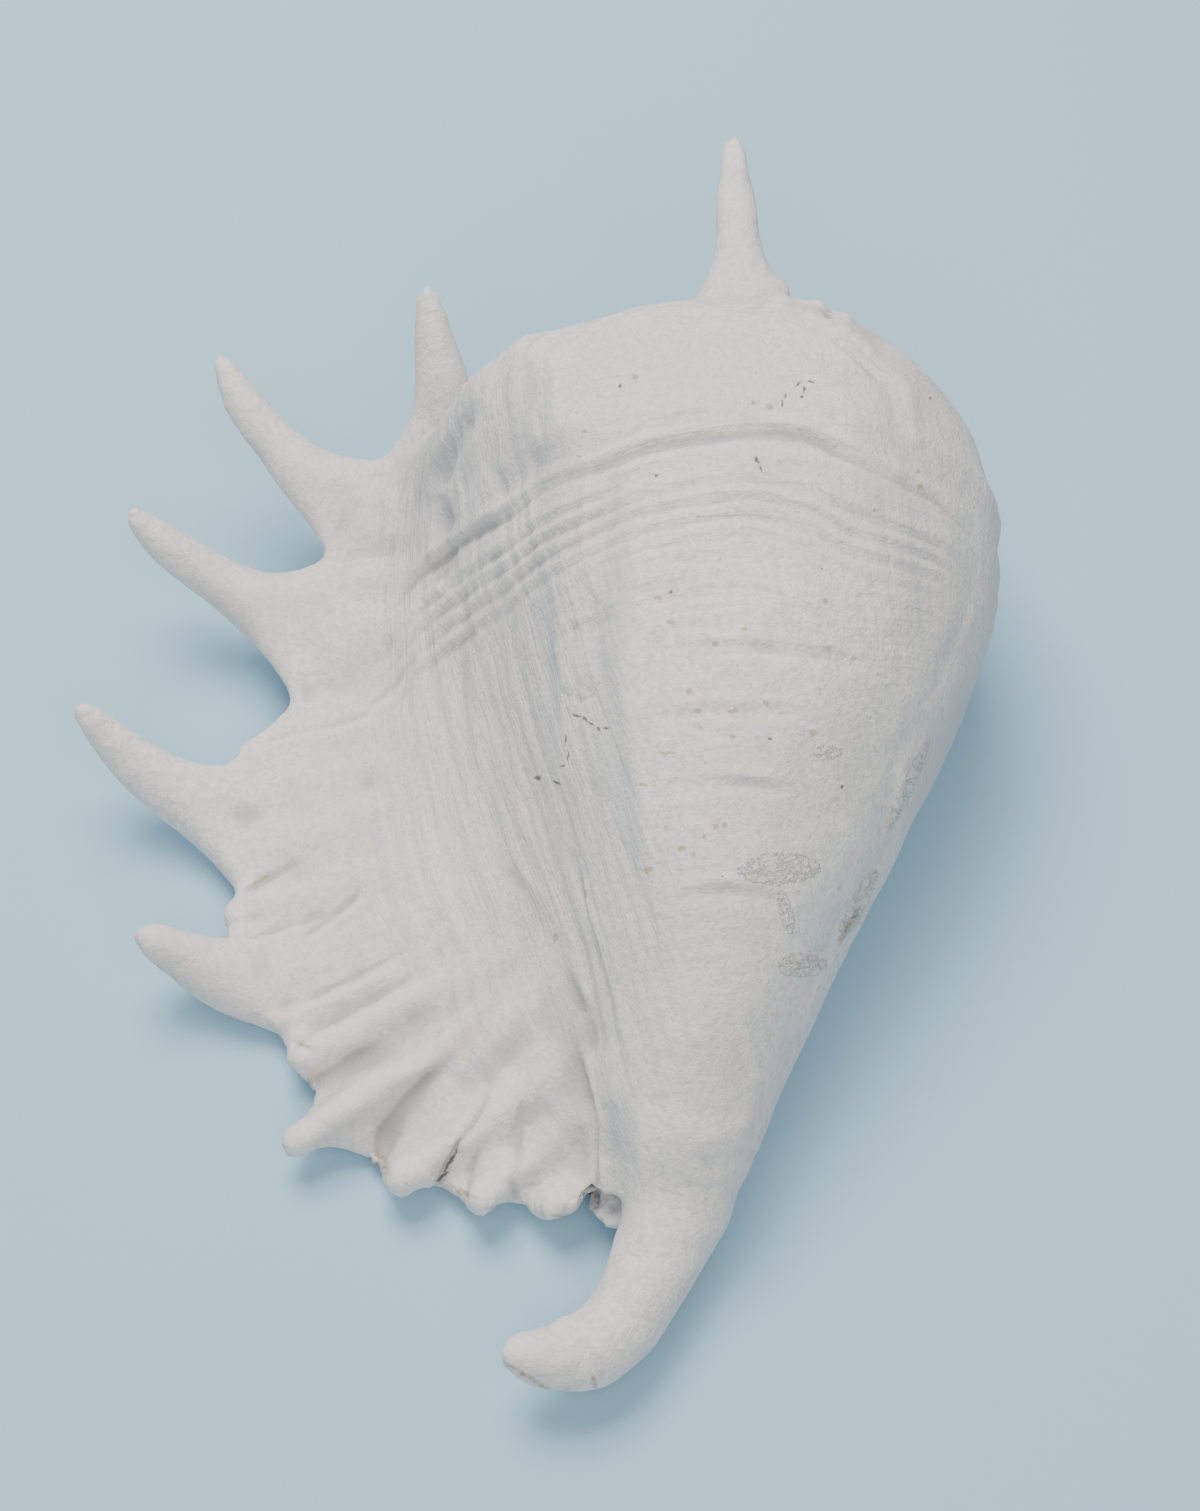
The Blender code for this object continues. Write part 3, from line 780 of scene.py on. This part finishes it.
class Look:
    """A material and the nodes that make it."""

    def __init__(self, name, base, roughness):
        self.material = bpy.data.materials.new(name)
        self.material.use_nodes = True
        self.tree = self.material.node_tree
        self.shader = self.tree.nodes["Principled BSDF"]
        self.shader.inputs["Base Color"].default_value = (*base, 1)
        self.shader.inputs["Roughness"].default_value = roughness
        self.material.diffuse_color = (*base, 1)

    def put(self, node, key, value):
        """Links a measure to one of the node's inputs, or sets the input to a plain value."""
        if isinstance(value, Measure):
            self.tree.links.new(value.socket, node.inputs[key])
        elif node.inputs[key].type == "RGBA":
            node.inputs[key].default_value = (*value, 1)
        else:
            node.inputs[key].default_value = value

    def node(self, kind, settings, inputs, output=0):
        """Adds a node: its settings first, then its inputs, and returns one output."""
        made = self.tree.nodes.new(kind)
        for key, value in settings.items():
            setattr(made, key, value)
        for key, value in inputs.items():
            self.put(made, key, value)
        return Measure(self, made.outputs[output])

    def measure(self, name):
        """What is stored under this name at the mesh's points."""
        return self.node("ShaderNodeAttribute", {"attribute_name": name}, {}, "Fac")

    def absolute(self, value):
        """The value without its sign."""
        return self.node("ShaderNodeMath", {"operation": "ABSOLUTE"}, {0: value})

    def vector(self, a, b, c=0.0):
        """Three measures as one place."""
        return self.node("ShaderNodeCombineXYZ", {}, {0: a, 1: b, 2: c})

    def vector_maths(self, operation, inputs, output=0):
        """Adds a Vector Math node. Output 0 is a place, and output 1 a number."""
        return self.node("ShaderNodeVectorMath", {"operation": operation}, inputs, output)

    def noise(self, where, scale, detail=3.0, roughness=0.5):
        """A cloudy pattern, mostly between 0.3 and 0.7."""
        inputs = {"Vector": where, "Scale": scale, "Detail": detail, "Roughness": roughness}
        return self.node("ShaderNodeTexNoise", {}, inputs)

    def between(self, value, low, high, start=0.0, end=1.0):
        """Goes smoothly from start to end while the value goes from low to high."""
        inputs = {"Value": value, "From Min": low, "From Max": high, "To Min": start, "To Max": end}
        return self.node("ShaderNodeMapRange", {"interpolation_type": "SMOOTHSTEP"}, inputs)

    def mix(self, share, first, second):
        """The first colour, with this share of the second."""
        return self.node("ShaderNodeMix", {"data_type": "RGBA"}, {0: share, 6: first, 7: second}, 2)

    def mark(self, before, x, y, length, width, turn=0.0, soft=0.3):
        """Adds an oval spot to the spots before it. Its place and half sizes are in chart squares."""
        if turn:
            cos, sin = math.cos(math.radians(turn)), math.sin(math.radians(turn))
            lengthways = (cos / length, sin / length, 0)
            sideways = (-sin / width, cos / width, 0)
            first = self.vector_maths("DOT_PRODUCT", {0: self.chart, 1: lengthways}, 1)
            second = self.vector_maths("DOT_PRODUCT", {0: self.chart, 1: sideways}, 1)
            middle = (
                x * lengthways[0] + y * lengthways[1],
                x * sideways[0] + y * sideways[1],
                0,
            )
            gap = self.vector_maths("DISTANCE", {0: self.vector(first, second), 1: middle}, 1)
        else:
            scale = (1 / length, 1 / width, 0)
            shift = (-x / length, -y / width, 0)
            scaled = self.vector_maths("MULTIPLY_ADD", {0: self.chart, 1: scale, 2: shift})
            gap = self.vector_maths("LENGTH", {0: scaled}, 1)
        return self.between(gap, 1 + soft, 1 - soft, before, 1.0)

    def marks(self, places, soft=0.3):
        """All of these oval spots together."""
        together = 0.0
        for place in places:
            together = self.mark(together, *place, soft=soft)
        return together


WARM_WHITE = (0.81, 0.745, 0.695)
COOL_WHITE = (0.70, 0.70, 0.71)
PALE_WHITE = (0.885, 0.835, 0.795)
PIT_GREY = (0.50, 0.46, 0.41)
STAIN_BROWN = (0.36, 0.28, 0.19)
SPECK_BLACK = (0.055, 0.045, 0.04)
CRUST_CREAM = (0.84, 0.79, 0.71)
DUST_GREY = (0.62, 0.595, 0.57)
# The grey of the painted shade in furrows, hollows and folds.
PAINTED_SHADE_GREY = (0.43, 0.42, 0.415)
# The grey-blue of the painted shade patches.
PATCH_SHADE_GREY = (0.52, 0.525, 0.55)

look = Look("bleached_shell", WARM_WHITE, 0.85)
body = look.node("ShaderNodeTexCoord", {}, {}, "Object")
along = look.measure("place")
around = look.measure("across")
chart_x = look.measure("chart_x")
chart_y = look.measure("chart_y")
upper = look.measure("seen")
slope = look.measure("slope")
panel = look.measure("panel")
flat = look.vector(chart_x, chart_y)
wobble = look.noise(flat, 0.16, 2.0)
wobble_too = look.noise(look.vector(chart_y, chart_x, 7.0), 0.16, 2.0)
ragged = look.vector(chart_x + 7 * (wobble - 0.5), chart_y + 7 * (wobble_too - 0.5))
look.chart = ragged

# From broad to fine: blotches, the lines of growth both ways, and chalky dust.
blotches = look.noise(body, 28.0, 3.0)
clouds = look.noise(body, 9.0, 2.0)
streaks = look.noise(look.vector(around * 0.50, along * 0.016), 1.0, 3.0, 0.65)
threads = look.noise(look.vector(around * 0.02, along * 0.55), 1.0, 3.0, 0.65)
colour = look.mix(look.between(blotches, 0.38, 0.62), WARM_WHITE, PALE_WHITE)
colour = look.mix(look.between(streaks, 0.44, 0.64) * (0.3 + 0.3 * slope), colour, COOL_WHITE)
colour = look.mix(look.between(threads, 0.50, 0.70) * 0.55, colour, COOL_WHITE)
colour = look.mix(look.between(clouds, 0.5, 0.7) * 0.25, colour, COOL_WHITE)
dust = look.noise(body, 600.0, 3.0, 0.7)
colour = look.mix(look.between(dust, 0.42, 0.62) * 0.6, colour, DUST_GREY)

# Painted shade greys the furrows and hollows, and a painted highlight lightens the crests.
furrow = look.measure("furrow")
hollow = look.measure("hollow")
colour = look.mix(look.between(furrow, -0.05, -0.4) * 0.6, colour, PALE_WHITE)
colour = look.mix(look.between(furrow, 0.03, 0.5) * 0.62, colour, PAINTED_SHADE_GREY)
# Painted shade in the wide hollows, weaker on the slope and underneath.
painted_hollow_shade = look.between(hollow, 0.1, 1.6) * (0.65 - 0.5 * slope) * (0.2 + 0.8 * upper)
colour = look.mix(painted_hollow_shade, colour, PAINTED_SHADE_GREY)
# Painted shade: soft grey-blue patches where the back lies in shade, in the hollows beside the hump and
# above the main cord, in the notch, on the canal and on the far flank.
PAINTED_SHADE_PATCHES = (
    # x, y, half length, half width, turn
    (549, 625, 11, 120, 0),
    (612, 620, 14, 130, 2),
    (627, 790, 11, 90, -8),
    (437, 478, 15, 76, 24),
    (445, 520, 16, 22, 20),
    (532, 464, 44, 22, -20),
    (528, 400, 8, 44, 4),
    (548, 398, 5, 40, 0),
    (618, 1132, 19, 34, 0),
    (611, 1209, 22, 12, 42),
    (955, 730, 13, 100, 24),
    (516, 1035, 9, 60, 48),
    (560, 1120, 22, 50, 0),
    (470, 1030, 7, 46, 42),
    (900, 520, 26, 110, -12),
)
patch_shade = look.marks(PAINTED_SHADE_PATCHES, 0.8) * upper * look.between(streaks, 0.3, 0.6, 0.35, 1.0)
colour = look.mix(patch_shade * 0.7, colour, PATCH_SHADE_GREY)
# Painted shade in the folds beside the hump and along the main cord.
SHADED_FOLDS = (
    # x, y, half length, half width, turn
    (516, 452, 27, 19, -14),
    (446, 520, 8, 20, 22),
    (482, 524, 40, 5, -36),
    (560, 476, 26, 6, -24),
)
colour = look.mix(look.marks(SHADED_FOLDS, 0.55) * upper * 0.3, colour, PAINTED_SHADE_GREY)

# Old worm holes and grit: soft grey pits all over, and the larger ones where they really are.
PIT_SPACING = 0.050
pit_cells = look.node(
    "ShaderNodeTexVoronoi", {"voronoi_dimensions": "2D"}, {"Vector": ragged, "Scale": PIT_SPACING}
)
cell_tint = look.node(
    "ShaderNodeTexVoronoi",
    {"voronoi_dimensions": "2D"},
    {"Vector": ragged, "Scale": PIT_SPACING},
    "Color",
)
chance = look.node("ShaderNodeSeparateColor", {}, {0: cell_tint})
pits = look.between(pit_cells, 0.12, 0.05) * look.between(chance, 0.80, 0.82)
pits = pits * upper * panel * 0.6

STAINS = (
    # x, y, half length, half width, turn
    (716, 826.5, 3.4, 2.8, 0),
    (725, 825, 2.8, 2.6, 0),
    (705, 837, 2.8, 2.2, 0),
    (682, 848, 3.4, 3.0, 0),
    (694, 854, 2.4, 3.0, 0),
    (733, 737, 3.2, 2.4, 10),
    (698, 711, 2.8, 3.0, 0),
    (701, 727, 2.4, 2.0, 0),
    (690, 691, 3.6, 3.0, 0),
    (648, 870, 5.0, 3.4, 0),
    (666, 828, 3.2, 2.6, 0),
    (644, 785, 4.0, 1.8, 0),
    (668, 753, 8.0, 1.6, 0),
    (670, 622, 3.5, 2.2, 0),
    (715, 644, 3.5, 2.6, 0),
    (745, 629, 3.0, 2.0, 0),
    (828, 648, 3.2, 2.6, 0),
    (854, 658, 3.0, 2.4, 0),
    (733, 711, 5.0, 2.6, 0),
    (766, 702, 3.0, 1.8, 20),
    (658, 598, 4.5, 1.8, 0),
    (813, 733, 4.0, 4.0, 0),
    (770, 406, 2.8, 3.2, 0),
    (754, 403, 3.2, 2.2, 0),
    (917, 472, 2.0, 3.4, 20),
    (920, 487, 4.0, 2.2, 20),
    (876, 510, 3.2, 2.2, 0),
    (635, 377, 3.2, 3.0, 0),
    (579, 456, 2.6, 1.6, 0),
    (585, 432, 2.6, 2.0, 0),
    (555, 938, 2.6, 3.2, 0),
    (826, 601, 2.4, 2.2, 0),
    (586, 894, 1.6, 4.2, 0),
)
SPECKS = (
    # x, y, half length, half width, turn
    (811, 382, 3.0, 1.3, 10),
    (799, 384, 3.2, 1.0, -30),
    (804, 390, 1.0, 3.4, 15),
    (802, 397, 2.0, 1.4, 0),
    (785, 396, 1.1, 2.6, 10),
    (782, 403, 1.0, 4.0, 0),
    (757, 460, 2.0, 3.6, -20),
    (761, 469, 1.0, 3.4, -15),
    (620, 386, 1.8, 2.4, 20),
    (577, 715, 3.6, 1.2, 30),
    (586, 720, 3.8, 1.1, 25),
    (592, 724, 3.4, 1.3, 35),
    (598, 729, 2.6, 1.5, 40),
    (605, 728, 3.6, 1.0, 0),
    (565, 740, 0.9, 5.0, 0),
    (568, 756, 0.9, 5.5, -4),
    (562, 766, 3.0, 1.1, -25),
    (538, 778, 3.4, 2.4, 0),
    (557, 783, 3.4, 1.2, 35),
    (722, 877, 1.2, 1.1, 0),
    (670, 591, 1.9, 1.7, 0),
    (821, 568, 1.3, 1.2, 0),
    (929, 399, 1.3, 1.5, 0),
    (656, 476, 2.0, 1.5, 0),
    (842, 786, 1.5, 2.0, 0),
    (770, 739, 2.8, 1.3, 15),
    (451, 1160, 17, 1.5, -62),
    (442, 1177, 8, 1.7, -35),
)
RING_PLACE = (826, 601)
RING_OUTER = 9.0
RING_INNER = 7.4
stained = look.marks(STAINS) * upper
ring = look.mark(0.0, *RING_PLACE, RING_OUTER, RING_OUTER, soft=0.12)
ring = ring - look.mark(0.0, *RING_PLACE, RING_INNER, RING_INNER, soft=0.12)
dark = look.marks(SPECKS, 0.5) * upper

# Crusts of old lime left by worms and weed, cracked and a little yellow.
CRUSTS = (
    # x, y, half length, half width, turn
    (779, 868, 46, 18, -3),
    (802, 965, 27, 14, 0),
    (786, 912, 8, 24, -14),
    (827, 752, 15, 9, 0),
    (858, 905, 9, 44, 28),
    (908, 785, 7, 56, 24),
)
crust_patches = look.marks(CRUSTS, 0.25)
crust_lumps = look.noise(flat, 0.13, 4.0, 0.7)
crust = look.between(crust_patches * crust_lumps, 0.34, 0.52) * upper
crack_bed = look.noise(flat, 0.055, 4.0, 0.65)
cracks = look.between(look.absolute(crack_bed - 0.5), 0.022, 0.0) * crust

# Dirt that stays in the furrows of the lip and under the hook.
GRIME = (
    # x, y, half length, half width, turn
    (309, 1086, 3.0, 9, 12),
    (304, 1045, 12, 2.4, 22),
    (383, 1162, 5, 14, -20),
    (462, 1192, 16, 3.2, 24),
    (507, 1207, 18, 2.6, -4),
    (566, 1218, 12, 2.4, 8),
    (230, 1018, 44, 2.6, 20),
    (175, 985, 30, 4.0, 42),
    (590, 1399, 32, 2.4, -3),
    (530, 1378, 34, 2.2, 32),
    (594, 1382, 3, 7, -10),
    (850, 925, 3, 22, 30),
    (258, 882, 14, 1.6, -30),
)
grime = look.marks(GRIME, 0.6) * upper * look.between(wobble, 0.35, 0.65, 0.35, 1.0)

colour = look.mix(pits, colour, PIT_GREY)
colour = look.mix(crust * 0.55, colour, CRUST_CREAM)
colour = look.mix(cracks * 0.55, colour, STAIN_BROWN)
colour = look.mix(ring * upper * 0.35, colour, PIT_GREY)
colour = look.mix(stained * 0.62, colour, STAIN_BROWN)
colour = look.mix(grime * 0.85, colour, STAIN_BROWN)
colour = look.mix(dark * 0.8, colour, SPECK_BLACK)
look.put(look.shader, "Base Color", colour)

# Heights are in millimetres.
grain = look.noise(body, 900.0, 2.0, 0.65)
hairlines = look.noise(look.vector(around * 1.5, along * 0.05), 1.0, 2.0, 0.65)
relief = grain * 0.45 + dust * 0.4 + hairlines * (0.16 + 0.2 * slope) + threads * 0.24
relief = relief + streaks * (0.3 + 0.7 * slope) + blotches * 1.0
cord_lines = look.noise(look.vector(look.measure("below") * 0.08, chart_x * 0.006), 1.0, 3.0, 0.6)
relief = relief + cord_lines * (look.measure("corded") + 0.5 * panel) * 0.85
relief = relief + crust * (0.4 + 0.9 * crust_lumps) - cracks * 0.5
bump = look.node("ShaderNodeBump", {}, {"Strength": 0.7, "Distance": MM, "Height": relief})
look.put(look.shader, "Normal", bump)
look.put(look.shader, "Roughness", 0.62 + 0.25 * upper)

conch.data.materials.clear()
conch.data.materials.append(look.material)
bpy.ops.object.select_all(action="DESELECT")
conch.select_set(True)
bpy.context.view_layer.objects.active = conch
bpy.ops.object.shade_smooth()
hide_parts("shell")
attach(conch, "root")

# The table
# A wide pale blue sheet, matt and plain, that the shell lies on.
TABLE_SIZE = 30.0
TABLE_TOP = -0.0002
TABLE_BLUE = (0.40, 0.64, 0.80)

bpy.ops.object.select_all(action="DESELECT")
bpy.ops.mesh.primitive_plane_add(size=TABLE_SIZE, location=(0, 0, TABLE_TOP))
table = bpy.context.active_object
table.name = "table"
bpy.ops.object.transform_apply(location=True)
cloth = Look("pale_table", TABLE_BLUE, 0.9)
table.data.materials.append(cloth.material)

# Light
# A soft lamp high behind the shell and to the left, a weak wide one in front, and a pale room.
ROOM_TINT = (0.93, 0.965, 1.0, 1)
ROOM_STRENGTH = 0.34
LAMPS = (
    # name, place, size, watts, colour
    ("key_lamp", (-0.20, 0.45, 1.18), 0.7, 19.0, (1.0, 0.955, 0.915)),
    ("front_lamp", (0.1, -0.8, 1.1), 1.0, 8.0, (1.0, 0.97, 0.94)),
)

world = bpy.data.worlds.new("room")
bpy.context.scene.world = world
world.use_nodes = True
room = world.node_tree.nodes["Background"]
room.inputs["Color"].default_value = ROOM_TINT
room.inputs["Strength"].default_value = ROOM_STRENGTH
for name, place_at, size, watts, tint in LAMPS:
    bpy.ops.object.light_add(type="AREA", location=place_at)
    lamp = bpy.context.active_object
    lamp.name = name
    lamp.data.size = size
    lamp.data.energy = watts
    lamp.data.color = tint
    lamp.rotation_euler = (-Vector(place_at)).to_track_quat("-Z", "Y").to_euler()

# The camera
# It looks down at the shell from the canal's end, 60 degrees above the table.
camera_place = (CAMERA_TARGET + TOWARDS_CAMERA * CAMERA_DISTANCE + STANDS_AT) * MM
bpy.ops.object.camera_add(location=camera_place, rotation=(math.pi / 2 - CAMERA_ANGLE, 0, 0))
camera = bpy.context.active_object
camera.data.lens = LENS
camera.data.sensor_width = SENSOR
bpy.context.scene.camera = camera
